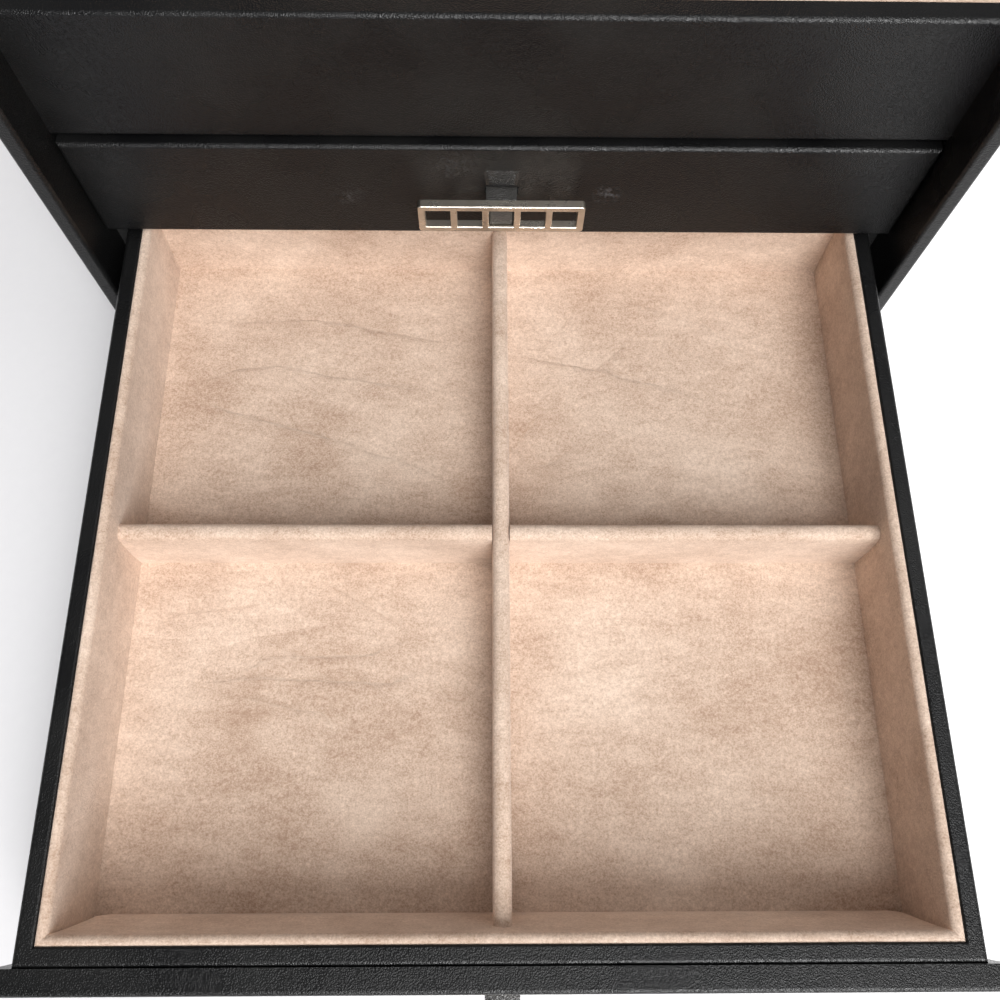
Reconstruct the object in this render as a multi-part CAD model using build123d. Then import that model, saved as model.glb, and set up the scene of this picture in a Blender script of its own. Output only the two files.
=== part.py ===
from build123d import *
from dataclasses import dataclass
from math import radians, tan
import os

# Leather-covered jewellery box with two drawers and a hinged lid.
# Millimetres. X to the right, front faces -Y, Z up, origin at the bottom centre of the case.

# ---------------------------------------------------------------- drawer box
drawer_width = 240.0          # across the outside of the box
drawer_length = 229.0         # from the front wall's face to the back wall's face
drawer_wall = 4.8             # leather-covered wall
drawer_board = 2.6            # bottom board
compartment_depth = 33.9      # from the rim down to the suede floor
wall_round = 1.3              # rounding of the leather at a rim
wall_round_inner = 0.6        # smaller rounding next to the lining

# ---------------------------------------------------------------- suede
lining = 1.5                  # suede over card on every wall
lining_drop = 0.4             # lining's edge below the rim
lining_round = 0.65           # rounding of the lining's edge
floor_card = 1.0              # suede-covered floor card
divider = 4.9                 # suede-covered divider
divider_drop = 8.8            # divider's top below the rim
divider_round = 2.3           # rounding of the divider's top edges
divider_fit = 0.15            # play in a halved joint
cross_shift = 1.0             # cross divider's middle behind the middle of the drawer

# ---------------------------------------------------------------- drawer front
front_thickness = 6.4
front_round = 1.3
front_rise = 0.1              # front's top edge above the drawer's rim
front_side_gap = 0.6          # front to side panel, each side
front_floor_gap = 0.5         # lower front to the base panel
front_seat_gap = 0.3          # closed front to the edges of the inner walls
drawer_grip = 10.2            # length of the open lower drawer still inside the case

# ---------------------------------------------------------------- pull
window_count = 5
window = 7.5                  # side of a square window
window_bar = 2.0              # metal between two windows
plate_end = 2.1               # metal beside the outer windows
plate_rail = 2.0              # metal above and below the windows
plate_depth = 2.6
plate_corner = 1.0
plate_edge = 0.35
plate_standoff = 5.2          # plate's back from the drawer front
plate_rise = 1.9              # plate's top above the tab's middle plane
strap_width = 9.2
strap_thickness = 2.4         # two layers of leather
strap_cover = 1.6             # leather behind the plate and inside the middle window
strap_fit = 0.2               # leather to the window's edge
strap_drop = 18.1             # tab's middle plane below the drawer front's top edge
strap_slot_play = 0.4         # slot round the tab's rounded root
strap_foot = 1.0              # tab's lower end above the plate's lower edge

# ---------------------------------------------------------------- case
side_panel = 5.2
panel_round = 1.3
inner_wall = 5.0
side_clearance = 0.8          # drawer box to inner wall, each side
slide_clearance = 0.5         # drawer box to the board below and above it
shelf = 3.0
shelf_housing = 2.0           # depth of the shelf's groove in an inner wall
cavity_board = 1.5
back_clearance = 1.0          # closed drawer to the back panel
back_panel = 8.0
base_panel = 5.2
felt = 1.0
felt_inset = 2.0
front_reveal = 12.6           # side panels' front edges ahead of the closed drawer fronts

# ---------------------------------------------------------------- top compartment
top_board = 3.0
top_depth = 38.9              # from the rim down to the suede floor
fixed_panel = 6.3
fixed_panel_recess = 1.9      # behind the drawer fronts
fixed_panel_gap = 1.5         # above the upper drawer's front
top_cross_count = 2

# ---------------------------------------------------------------- lid and hinges
lid_thickness = 10.0
lid_gap = 0.3                 # lid to the case's rim
lid_card = 2.5                # suede-covered board under the lid
lid_card_margin = 2.0         # that board to the linings of the top compartment
lid_card_round = 1.2
lid_opening = 95.0            # degrees from closed to the stop
bevel_play = 1.0              # degrees left between the bevels at the stop
bevel_overrun = 5.0           # how far the bevel's wedge runs past the back face
hinge_inset = 3.5             # hinge axis inside the back face
hinge_length = 28.0
hinge_spacing = 150.0         # between the middles of the two hinges
knuckle_count = 5             # odd: the outer ones are the case's
knuckle_radius = 1.4
knuckle_play = 0.3            # wood to knuckle
knuckle_gap = 0.1             # between neighbouring knuckles
pin_radius = 0.6
pin_play = 0.05               # radial, pin to knuckle
leaf_thickness = 0.8
leaf_play = 0.05              # each leaf to the middle plane of the closed joint
leaf_width = 4.2              # from the axis forwards
screw_spacing = 18.0
screw_radius = 0.8
screw_length = 7.0
screw_head_radius = 1.3

# ---------------------------------------------------------------- worked-out places
box_height = compartment_depth + floor_card + drawer_board
cavity_width = drawer_width + 2 * side_clearance
inner_width = cavity_width + 2 * inner_wall
case_width = inner_width + 2 * side_panel
front_width = inner_width - 2 * front_side_gap
case_depth = front_reveal + front_thickness + drawer_length + back_clearance + back_panel

case_front = -case_depth / 2
case_back = case_depth / 2
back_inner = case_back - back_panel
front_face = case_front + front_reveal
box_front = front_face + front_thickness
box_back = box_front + drawer_length
inner_front = box_front + front_seat_gap
drawer_out = drawer_length - front_seat_gap - drawer_grip

base_top = felt + base_panel
lower_box = base_top + cavity_board + slide_clearance
lower_rim = lower_box + box_height
shelf_low = lower_rim + slide_clearance
shelf_top = shelf_low + shelf
upper_box = shelf_top + slide_clearance
upper_rim = upper_box + box_height
top_board_low = upper_rim + slide_clearance
top_board_top = top_board_low + top_board
case_rim = top_board_top + floor_card + top_depth
front_height = lower_rim + front_rise - base_top - front_floor_gap

fixed_panel_front = front_face + fixed_panel_recess
fixed_panel_back = fixed_panel_front + fixed_panel
fixed_panel_low = upper_rim + front_rise + fixed_panel_gap

joint_plane = case_rim + lid_gap / 2
hinge_y = case_back - hinge_inset
lid_low = case_rim + lid_gap
bevel = (lid_opening + bevel_play) / 2
hinge_axis = Axis((0, hinge_y, joint_plane), (1, 0, 0))

plate_width = window_count * window + (window_count - 1) * window_bar + 2 * plate_end
plate_height = window + 2 * plate_rail


# ---------------------------------------------------------------- helpers
def block(x, y, z):
    """A box between three (low, high) pairs."""
    return Pos(sum(x) / 2, sum(y) / 2, sum(z) / 2) * Box(x[1] - x[0], y[1] - y[0], z[1] - z[0])


def both_ways(half):
    """The (low, high) pair of a length centred on the middle plane."""
    return (-half, half)


def trimmed(piece, corner, outward):
    """The side of the piece that lies along the outward direction from a vertical plane at a corner."""
    plane = Plane(origin=(*corner, 0), z_dir=(*outward, 0))
    return split(piece, bisect_by=plane, keep=Keep.TOP)


def top_rounded(piece, along, across, rounds):
    """A wall with its two long top edges rounded, first the one at the low end of the across axis."""
    for end, radius in zip((0, -1), rounds):
        edge = piece.edges().filter_by(along).group_by(Axis.Z)[-1].sort_by(across)[end]
        piece = fillet(edge, radius)
    return piece


def wall_along_x(x, y, z, rounds):
    """A wall along X, its top edges rounded, the front one first."""
    return top_rounded(block(x, y, z), Axis.X, Axis.Y, rounds)


def wall_along_y(x, y, z, rounds):
    """A wall along Y, its top edges rounded, the left one first."""
    return top_rounded(block(x, y, z), Axis.Y, Axis.X, rounds)


def mitred_walls(half_width, front, back, z, thickness, outer_round, inner_round):
    """Four walls round a tray, mitred where they meet, by the side they stand on."""
    outer_first = (outer_round, inner_round)
    outer_last = (inner_round, outer_round)
    x = both_ways(half_width)
    y = (front, back)
    walls = {
        "front": wall_along_x(x, (front, front + thickness), z, outer_first),
        "back": wall_along_x(x, (back - thickness, back), z, outer_last),
        "left": wall_along_y((-half_width, thickness - half_width), y, z, outer_first),
        "right": wall_along_y((half_width - thickness, half_width), y, z, outer_last),
    }
    for x_side, x_name in ((-1, "left"), (1, "right")):
        for y_side, y_name, corner_y in ((-1, "front", front), (1, "back", back)):
            corner = (x_side * half_width, corner_y)
            walls[x_name] = trimmed(walls[x_name], corner, (x_side, -y_side))
            walls[y_name] = trimmed(walls[y_name], corner, (-x_side, y_side))
    return walls


@dataclass
class Tray:
    """The space inside four walls: its half width, front and back faces, board's top and rim."""

    half_width: float
    front: float
    back: float
    board: float
    rim: float

    def linings(self):
        """Suede-covered cards on the four walls."""
        z = (self.board, self.rim - lining_drop)
        return mitred_walls(self.half_width, self.front, self.back, z, lining, lining_round, lining_round)

    def card(self):
        """The suede-covered floor card between the linings."""
        x = both_ways(self.half_width - lining)
        y = (self.front + lining, self.back - lining)
        return block(x, y, (self.board, self.board + floor_card))

    def divider_z(self):
        """From the suede floor to the dividers' tops."""
        return (self.board + floor_card, self.rim - divider_drop)

    def middle_z(self):
        """The height at which two dividers' halved joints meet."""
        return sum(self.divider_z()) / 2

    def long_divider(self, cross_ys):
        """Divider from front to back, notched from below over each cross divider."""
        y = (self.front + lining, self.back - lining)
        rounds = (divider_round, divider_round)
        piece = wall_along_y(both_ways(divider / 2), y, self.divider_z(), rounds)
        half_notch = divider / 2 + divider_fit
        for cross_y in cross_ys:
            notch_y = (cross_y - half_notch, cross_y + half_notch)
            piece -= block(both_ways(divider), notch_y, (self.board, self.middle_z()))
        return piece

    def cross_divider(self, cross_y):
        """Divider from side to side, notched from above for the long divider."""
        y = (cross_y - divider / 2, cross_y + divider / 2)
        rounds = (divider_round, divider_round)
        piece = wall_along_x(both_ways(self.half_width - lining), y, self.divider_z(), rounds)
        notch_x = both_ways(divider / 2 + divider_fit)
        notch_y = (cross_y - divider, cross_y + divider)
        return piece - block(notch_x, notch_y, (self.middle_z(), self.rim))


# ---------------------------------------------------------------- pull
def pull_plate(face, tab_z):
    """Metal plate with a row of square windows, its back plate_standoff ahead of a drawer front's face."""
    top = tab_z + plate_rise
    y = (face - plate_standoff - plate_depth, face - plate_standoff)
    plate = block(both_ways(plate_width / 2), y, (top - plate_height, top))
    plate = fillet(plate.edges().filter_by(Axis.Y), plate_corner)
    first = -(window_count - 1) / 2 * (window + window_bar)
    for index in range(window_count):
        middle = first + index * (window + window_bar)
        x = (middle - window / 2, middle + window / 2)
        plate -= block(x, (y[0] - 1, y[1] + 1), (top - plate_rail - window, top - plate_rail))
    return fillet(plate.faces().sort_by(Axis.Y)[0].edges(), plate_edge)


def pull_strap(face, tab_z):
    """Leather tab: rounded root, forward tongue, fold behind the plate and cover in the middle window."""
    half = strap_thickness / 2
    plate_back = face - plate_standoff
    plate_low = tab_z + plate_rise - plate_height
    window_z = (plate_low + plate_rail + strap_fit, plate_low + plate_rail + window - strap_fit)
    x = both_ways(strap_width / 2)
    root = Pos(0, face, tab_z) * Rot(0, 90, 0) * Cylinder(half, strap_width)
    tongue = block(x, (plate_back, face), (tab_z - half, tab_z + half))
    fold = block(x, (plate_back, plate_back + strap_cover), (plate_low + strap_foot, tab_z + half))
    cover = block(both_ways(window / 2 - strap_fit), (plate_back - strap_cover, plate_back), window_z)
    cover = fillet(cover.faces().sort_by(Axis.Y)[0].edges(), strap_cover / 3)
    return root + tongue + fold + cover


def strap_slot(face, tab_z):
    """Rounded slot in a drawer front for the root of its tab."""
    radius = strap_thickness / 2 + strap_slot_play
    return Pos(0, face, tab_z) * Rot(0, 90, 0) * Cylinder(radius, strap_width + 2 * strap_slot_play)


# ---------------------------------------------------------------- drawers
def drawer(box_low, out):
    """A drawer whose box starts at box_low and stands out this far from closed, by piece name."""
    rim = box_low + box_height
    front = box_front - out
    back = box_back - out
    face = front_face - out
    half = drawer_width / 2
    board_top = box_low + drawer_board
    tray = Tray(half - drawer_wall, front + drawer_wall, back - drawer_wall, board_top, rim)
    walls = mitred_walls(half, front, back, (board_top, rim), drawer_wall, wall_round, wall_round_inner)
    front_top = rim + front_rise
    panel = block(both_ways(front_width / 2), (face, front), (front_top - front_height, front_top))
    panel = fillet(panel.faces().sort_by(Axis.Y)[0].edges(), front_round)
    tab_z = front_top - strap_drop
    cross_y = (front + back) / 2 + cross_shift
    pieces = {
        "front_panel": panel - strap_slot(face, tab_z),
        "bottom": block(both_ways(half), (front, back), (box_low, board_top)),
        "floor_card": tray.card(),
        "long_divider": tray.long_divider([cross_y]),
        "cross_divider": tray.cross_divider(cross_y),
        "pull_plate": pull_plate(face, tab_z),
        "pull_strap": pull_strap(face, tab_z),
    }
    pieces.update({f"{side}_wall": piece for side, piece in walls.items()})
    pieces.update({f"lining_{side}": piece for side, piece in tray.linings().items()})
    return pieces


# ---------------------------------------------------------------- case
def case_bevel():
    """Wedge that takes the case's top back edge away so that the open lid leans on it."""
    return wedge(-1)


def lid_bevel():
    """The same wedge on the closed lid's lower back edge."""
    return wedge(1)


def wedge(upwards):
    """Wedge behind the hinge axis, below it or above it."""
    reach = hinge_inset + bevel_overrun
    rise = upwards * reach * tan(radians(bevel))
    outline = Polyline((0, 0), (reach, 0), (reach, rise), close=True)
    face = Plane(origin=(0, hinge_y, joint_plane), x_dir=(0, 1, 0), z_dir=(1, 0, 0)) * make_face(outline)
    return extrude(face, case_width, both=True)


def hinge_middles():
    """X of the middle of each hinge."""
    return (-hinge_spacing / 2, hinge_spacing / 2)


def hinge_cylinder(radius, x):
    """A cylinder on the hinge axis between two X values."""
    return Pos(sum(x) / 2, hinge_y, joint_plane) * Rot(0, 90, 0) * Cylinder(radius, x[1] - x[0])


def leaf_z(upwards):
    """Height of a hinge leaf, below or above the joint's middle plane."""
    near = joint_plane + upwards * leaf_play
    return tuple(sorted((near, near + upwards * leaf_thickness)))


def hinge_seats(upwards):
    """Shallow housings for the leaves and round clearance for the knuckles."""
    seats = []
    for middle in hinge_middles():
        x = (middle - hinge_length / 2 - leaf_play, middle + hinge_length / 2 + leaf_play)
        seats.append(hinge_cylinder(knuckle_radius + knuckle_play, x))
        seats.append(block(x, (hinge_y - leaf_width, hinge_y), leaf_z(upwards)))
    return seats


def screw_xs(middle):
    """X of the two screws of one leaf."""
    return (middle - screw_spacing / 2, middle + screw_spacing / 2)


def screw(x, upwards):
    """Countersunk screw through a leaf into the wood, flush with the leaf's inner face."""
    y = hinge_y - (leaf_width + knuckle_radius) / 2
    head_middle = Pos(x, y, joint_plane + upwards * (leaf_play + leaf_thickness / 2))
    cone = head_middle * Rot(90 + 90 * upwards, 0, 0) * Cone(screw_radius, screw_head_radius, leaf_thickness)
    shank_middle = joint_plane + upwards * (leaf_play + leaf_thickness + screw_length / 2)
    return cone + Pos(x, y, shank_middle) * Cylinder(screw_radius, screw_length)


def screws(upwards):
    """All the screws on one side of the joint, as separate solids."""
    return [screw(x, upwards) for middle in hinge_middles() for x in screw_xs(middle)]


def leaf(middle, upwards):
    """One leaf: its plate and every other knuckle, from the first on the case and the second on the lid."""
    pitch = hinge_length / knuckle_count
    x = (middle - hinge_length / 2, middle + hinge_length / 2)
    piece = block(x, (hinge_y - leaf_width, hinge_y), leaf_z(upwards))
    first = 0 if upwards < 0 else 1
    piece -= hinge_cylinder(knuckle_radius + knuckle_gap, x)
    for index in range(first, knuckle_count, 2):
        low = x[0] + index * pitch + knuckle_gap / 2
        span = (low, low + pitch - knuckle_gap)
        web = block(span, (hinge_y - 2 * knuckle_radius, hinge_y), leaf_z(upwards))
        piece += hinge_cylinder(knuckle_radius, span) + web
    piece -= hinge_cylinder(pin_radius + pin_play, (x[0] - 1, x[1] + 1))
    for screw_x in screw_xs(middle):
        piece -= screw(screw_x, upwards)
    return piece


def side_panel_at(side):
    """Outer side panel with rounded leather edges, bevelled at the top back."""
    x = tuple(sorted((side * inner_width / 2, side * case_width / 2)))
    piece = block(x, (case_front, case_back), (felt, case_rim))
    front_edges = piece.edges().filter_by(Axis.Z).group_by(Axis.Y)[0]
    top_edges = piece.edges().filter_by(Axis.Y).group_by(Axis.Z)[-1]
    piece = fillet(front_edges + top_edges, panel_round)
    return piece - case_bevel()


def inner_wall_at(side):
    """Inner wall that the drawers run between, grooved for the shelf."""
    x = tuple(sorted((side * cavity_width / 2, side * inner_width / 2)))
    piece = block(x, (inner_front, back_inner), (base_top, top_board_low))
    groove = both_ways(cavity_width / 2 + shelf_housing)
    return piece - block(groove, (inner_front, back_inner), (shelf_low, shelf_top))


def back_panel_piece():
    """Back panel between the side panels, bevelled and housed for the hinges."""
    piece = block(both_ways(inner_width / 2), (back_inner, case_back), (base_top, case_rim))
    piece -= case_bevel()
    for cut in hinge_seats(-1) + screws(-1):
        piece -= cut
    return piece


def fixed_front_panel_piece():
    """Fixed front of the top compartment."""
    piece = block(
        both_ways(inner_width / 2),
        (fixed_panel_front, fixed_panel_back),
        (fixed_panel_low, case_rim),
    )
    edges = piece.edges().filter_by(Axis.X)
    front_edges = edges.group_by(Axis.Y)[0]
    piece = fillet(front_edges, panel_round)
    back_top = piece.edges().filter_by(Axis.X).group_by(Axis.Y)[-1].sort_by(Axis.Z)[-1]
    return fillet(back_top, wall_round_inner)


def case():
    """The fixed pieces, by name."""
    tray = Tray(inner_width / 2, fixed_panel_back, back_inner, top_board_top, case_rim)
    step = (tray.back - tray.front) / (top_cross_count + 1)
    cross_ys = [tray.front + step * (index + 1) for index in range(top_cross_count)]
    cavity_y = (inner_front, back_inner)
    cavity_half = cavity_width / 2
    felt_x = both_ways(case_width / 2 - felt_inset)
    felt_y = both_ways(case_depth / 2 - felt_inset)
    pieces = {
        "side_panel_left": side_panel_at(-1),
        "side_panel_right": side_panel_at(1),
        "inner_wall_left": inner_wall_at(-1),
        "inner_wall_right": inner_wall_at(1),
        "back_panel": back_panel_piece(),
        "base_panel": block(both_ways(inner_width / 2), (case_front, case_back), (felt, base_top)),
        "base_felt": block(felt_x, felt_y, (0, felt)),
        "cavity_board": block(both_ways(cavity_half), cavity_y, (base_top, base_top + cavity_board)),
        "drawer_shelf": block(both_ways(cavity_half + shelf_housing), cavity_y, (shelf_low, shelf_top)),
        "top_floor": block(
            both_ways(inner_width / 2),
            (fixed_panel_back, back_inner),
            (top_board_low, top_board_top),
        ),
        "fixed_front_panel": fixed_front_panel_piece(),
        "top_floor_card": tray.card(),
        "top_long_divider": tray.long_divider(cross_ys),
        "top_cross_dividers": Compound(children=[tray.cross_divider(y) for y in cross_ys]),
        "case_hinge_leaves": Compound(children=[leaf(middle, -1) for middle in hinge_middles()]),
        "case_hinge_screws": Compound(children=screws(-1)),
        "hinge_pins": Compound(children=[
            hinge_cylinder(pin_radius, (middle - hinge_length / 2, middle + hinge_length / 2))
            for middle in hinge_middles()
        ]),
    }
    pieces.update({f"top_lining_{side}": piece for side, piece in tray.linings().items()})
    return pieces


# ---------------------------------------------------------------- lid
def lid_board_piece():
    """Leather-covered lid, closed: rounded edges, bevelled and housed for the hinges."""
    z = (lid_low, lid_low + lid_thickness)
    piece = block(both_ways(case_width / 2), (case_front, case_back), z)
    piece = fillet(piece.faces().sort_by(Axis.Z)[-1].edges() + piece.edges().filter_by(Axis.Z), panel_round)
    piece -= lid_bevel()
    for cut in hinge_seats(1) + screws(1):
        piece -= cut
    return piece


def lid_card_piece():
    """Suede-covered board under the closed lid, inside the linings of the top compartment."""
    margin = lining + lid_card_margin
    x = both_ways(inner_width / 2 - margin)
    y = (fixed_panel_back + margin, back_inner - margin)
    piece = block(x, y, (lid_low - lid_card, lid_low))
    piece = fillet(piece.edges().filter_by(Axis.Z), lid_card_round)
    return fillet(piece.faces().sort_by(Axis.Z)[0].edges(), lid_card_round)


def lid():
    """The lid's pieces by name, swung open to the stop."""
    pieces = {
        "lid_board": lid_board_piece(),
        "lid_lining": lid_card_piece(),
        "lid_hinge_leaves": Compound(children=[leaf(middle, 1) for middle in hinge_middles()]),
        "lid_hinge_screws": Compound(children=screws(1)),
    }
    return {name: piece.rotate(hinge_axis, -lid_opening) for name, piece in pieces.items()}


# ---------------------------------------------------------------- the whole box
def box():
    """Every piece by its node name."""
    pieces = {**case(), **lid()}
    pieces.update({f"upper_{name}": piece for name, piece in drawer(upper_box, 0).items()})
    pieces.update({f"lower_{name}": piece for name, piece in drawer(lower_box, drawer_out).items()})
    return pieces


os.makedirs("parts", exist_ok=True)
for node, shape in box().items():
    export_step(shape, f"parts/{node}.step")
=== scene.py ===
"""Looks of the leather-covered cufflink box: two suede-lined drawers, a top compartment and a hinged lid."""

import logging
import math
from dataclasses import dataclass
from enum import Enum
from typing import Callable

import bmesh
import bpy
import numpy as np
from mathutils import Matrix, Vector, noise


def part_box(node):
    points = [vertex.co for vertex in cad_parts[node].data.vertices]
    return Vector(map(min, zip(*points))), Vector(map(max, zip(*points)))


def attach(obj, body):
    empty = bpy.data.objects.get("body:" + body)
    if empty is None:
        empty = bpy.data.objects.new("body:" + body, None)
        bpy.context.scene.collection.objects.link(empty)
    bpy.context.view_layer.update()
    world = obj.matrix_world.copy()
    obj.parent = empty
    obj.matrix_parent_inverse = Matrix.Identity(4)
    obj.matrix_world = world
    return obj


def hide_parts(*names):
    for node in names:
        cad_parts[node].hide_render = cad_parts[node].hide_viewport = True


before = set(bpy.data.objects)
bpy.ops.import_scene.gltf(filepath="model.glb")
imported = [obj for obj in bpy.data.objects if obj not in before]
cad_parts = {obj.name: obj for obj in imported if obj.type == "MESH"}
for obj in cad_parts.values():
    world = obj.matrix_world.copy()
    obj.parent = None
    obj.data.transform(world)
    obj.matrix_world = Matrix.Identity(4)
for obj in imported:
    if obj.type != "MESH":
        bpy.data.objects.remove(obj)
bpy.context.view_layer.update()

MM = 0.001
TINY = 0.01 * MM
CUTTER = 10.0 * MM  # reach of a cutter past what it cuts
log = logging.getLogger("cufflink_box")

Node = bpy.types.Node
Socket = bpy.types.NodeSocket
Tree = bpy.types.NodeTree
Object = bpy.types.Object
Triple = tuple[float, float, float]
Pair = tuple[float, float]


# ---- small tools
def linear(colour: str) -> tuple[float, float, float, float]:
    """Turn an sRGB hex colour into the linear colour that shaders take.

    Args:
        colour: Six hex digits.

    Returns:
        Linear red, green, blue and an alpha of one.
    """
    channels = [int(colour[i:i + 2], 16) / 255 for i in (0, 2, 4)]
    parts = [c / 12.92 if c <= 0.04045 else ((c + 0.055) / 1.055) ** 2.4 for c in channels]
    return parts[0], parts[1], parts[2], 1.0


def fill(node: Node, inputs: dict | tuple) -> None:
    """Set a node's inputs.

    Args:
        node: The node.
        inputs: Their values by name or number, or in order: a number, a vector, a hex colour, an output socket, or a
            node whose first output is meant.
    """
    for key, value in inputs.items() if isinstance(inputs, dict) else enumerate(inputs):
        if isinstance(value, (Node, Socket)):
            node.id_data.links.new(value.outputs[0] if isinstance(value, Node) else value, node.inputs[key])
        else:
            node.inputs[key].default_value = linear(value) if isinstance(value, str) else value


def add_node(tree: Tree, kind: str, inputs: dict | tuple = (), **settings) -> Node:
    """Add a shader node with its settings and links.

    Args:
        tree: The node tree that gets the node.
        kind: The node's type name without ShaderNode.
        inputs: As for fill.
        **settings: Properties of the node itself.

    Returns:
        The new node.
    """
    node = tree.nodes.new("ShaderNode" + kind)
    for name, value in settings.items():
        setattr(node, name, value)
    fill(node, inputs)
    return node


def per_metre(size_mm: float) -> float:
    """Texture scale whose features are this many millimetres across."""
    return 1.0 / (size_mm * MM)


def features(size_mm: float, detail: float, rough: float = 0.55) -> dict:
    """A noise texture's inputs for features of one size with some finer layers, and how strong these are."""
    return {"Scale": per_metre(size_mm), "Detail": detail, "Roughness": rough}


def clamp(value: float) -> float:
    """The value held between 0 and 1."""
    return min(1.0, max(0.0, value))


def clear_selection() -> None:
    """Deselect every object."""
    bpy.ops.object.select_all(action="DESELECT")


def make_active(obj: Object) -> None:
    """Select one object alone and make it the active one.

    Args:
        obj: The object.
    """
    clear_selection()
    obj.select_set(True)
    bpy.context.view_layer.objects.active = obj


# ---- finishes
@dataclass(frozen=True)
class Finish:
    """A surface finish that makes its own node material once."""

    name: str

    def material(self) -> bpy.types.Material:
        """Make the finish's material at its first use.

        Returns:
            The material.
        """
        found = bpy.data.materials.get(self.name)
        if found:
            return found
        made = bpy.data.materials.new(self.name)
        made.use_nodes = True
        made.node_tree.nodes.clear()
        tree = made.node_tree
        place = add_node(tree, "TexCoord").outputs["Object"]
        shader = add_node(tree, "BsdfPrincipled")
        add_node(tree, "OutputMaterial", {"Surface": shader})
        self.paint(tree, place, shader)
        return made

    def paint(self, tree: Tree, place: Socket, shader: Node) -> None:
        """Fill the material's tree. Every finish has its own way.

        Args:
            tree: The node tree.
            place: The object's own coordinates, in metres.
            shader: The principled shader.
        """
        raise NotImplementedError


@dataclass(frozen=True)
class Smudge:
    """A rubbed, greyish place on the leather."""

    place_mm: Triple
    radius_mm: float
    strength: float


@dataclass(frozen=True)
class GrainedLeather(Finish):
    """Black bonded leather with an embossed fine pebble grain and a satin top coat.

    It looks nearly black, with a soft grey gloss along rounded edges that the grain breaks into small glints.
    """

    colour: str = "0F0F10"
    worn_colour: str = "181818"
    dust_colour: str = "77777A"
    grain_mm: float = 0.45
    grain_depth_mm: float = 0.11
    drift_mm: float = 1.9
    drift_reach_mm: float = 0.8
    pore_mm: float = 0.25
    cloud_mm: float = 28.0
    rub_mm: float = 1.6
    pore_share: float = 0.5
    grain_bump: float = 0.8
    roughness: float = 0.27
    gloss: float = 0.2
    smudges: tuple[Smudge, ...] = ()

    def paint(self, tree: Tree, place: Socket, shader: Node) -> None:
        """Pebble grain, uneven gloss and the smudges."""
        drift = add_node(tree, "TexNoise", {"Vector": place, "Scale": per_metre(self.drift_mm), "Detail": 1.0})
        reach = (self.drift_reach_mm * MM,) * 3
        bent = add_node(tree, "VectorMath", (drift.outputs["Color"], reach, place), operation="MULTIPLY_ADD")
        pebbles = add_node(tree, "TexVoronoi", {"Vector": bent, "Scale": per_metre(self.grain_mm)}, feature="F1")
        domed = add_node(tree, "MapRange", (pebbles, 0.05, 0.75, 1.0, 0.0))
        pores = add_node(tree, "TexNoise", {"Vector": place} | features(self.pore_mm, 1.0))
        height = add_node(tree, "Math", (pores, self.pore_share, domed), operation="MULTIPLY_ADD")
        grain = {"Strength": self.grain_bump, "Distance": self.grain_depth_mm * MM, "Height": height}
        cloud = add_node(tree, "TexNoise", {"Vector": place} | features(self.cloud_mm, 2.0))
        worn = add_node(tree, "MapRange", (cloud, 0.35, 0.7))
        colour = add_node(tree, "Mix", {0: worn, 6: self.colour, 7: self.worn_colour}, data_type="RGBA").outputs[2]
        for smudge in self.smudges:
            middle = tuple(c * MM for c in smudge.place_mm)
            away = add_node(tree, "VectorMath", (place, middle), operation="DISTANCE").outputs["Value"]
            near = add_node(tree, "MapRange", (away, 0.0, smudge.radius_mm * MM, smudge.strength, 0.0))
            rubbed = add_node(tree, "TexNoise", {"Vector": place} | features(self.rub_mm, 4.0, 0.7))
            patchy = add_node(tree, "MapRange", (rubbed, 0.48, 0.66))
            share = add_node(tree, "Math", (near, patchy), operation="MULTIPLY")
            colour = add_node(tree, "Mix", {0: share, 6: colour, 7: self.dust_colour}, data_type="RGBA").outputs[2]
        rough = add_node(tree, "MapRange", (cloud, 0.3, 0.7, self.roughness - 0.05, self.roughness + 0.07))
        fill(shader, {
            "Base Color": colour, "Normal": add_node(tree, "Bump", grain), "Roughness": rough,
            "Specular IOR Level": self.gloss,
        })


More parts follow.
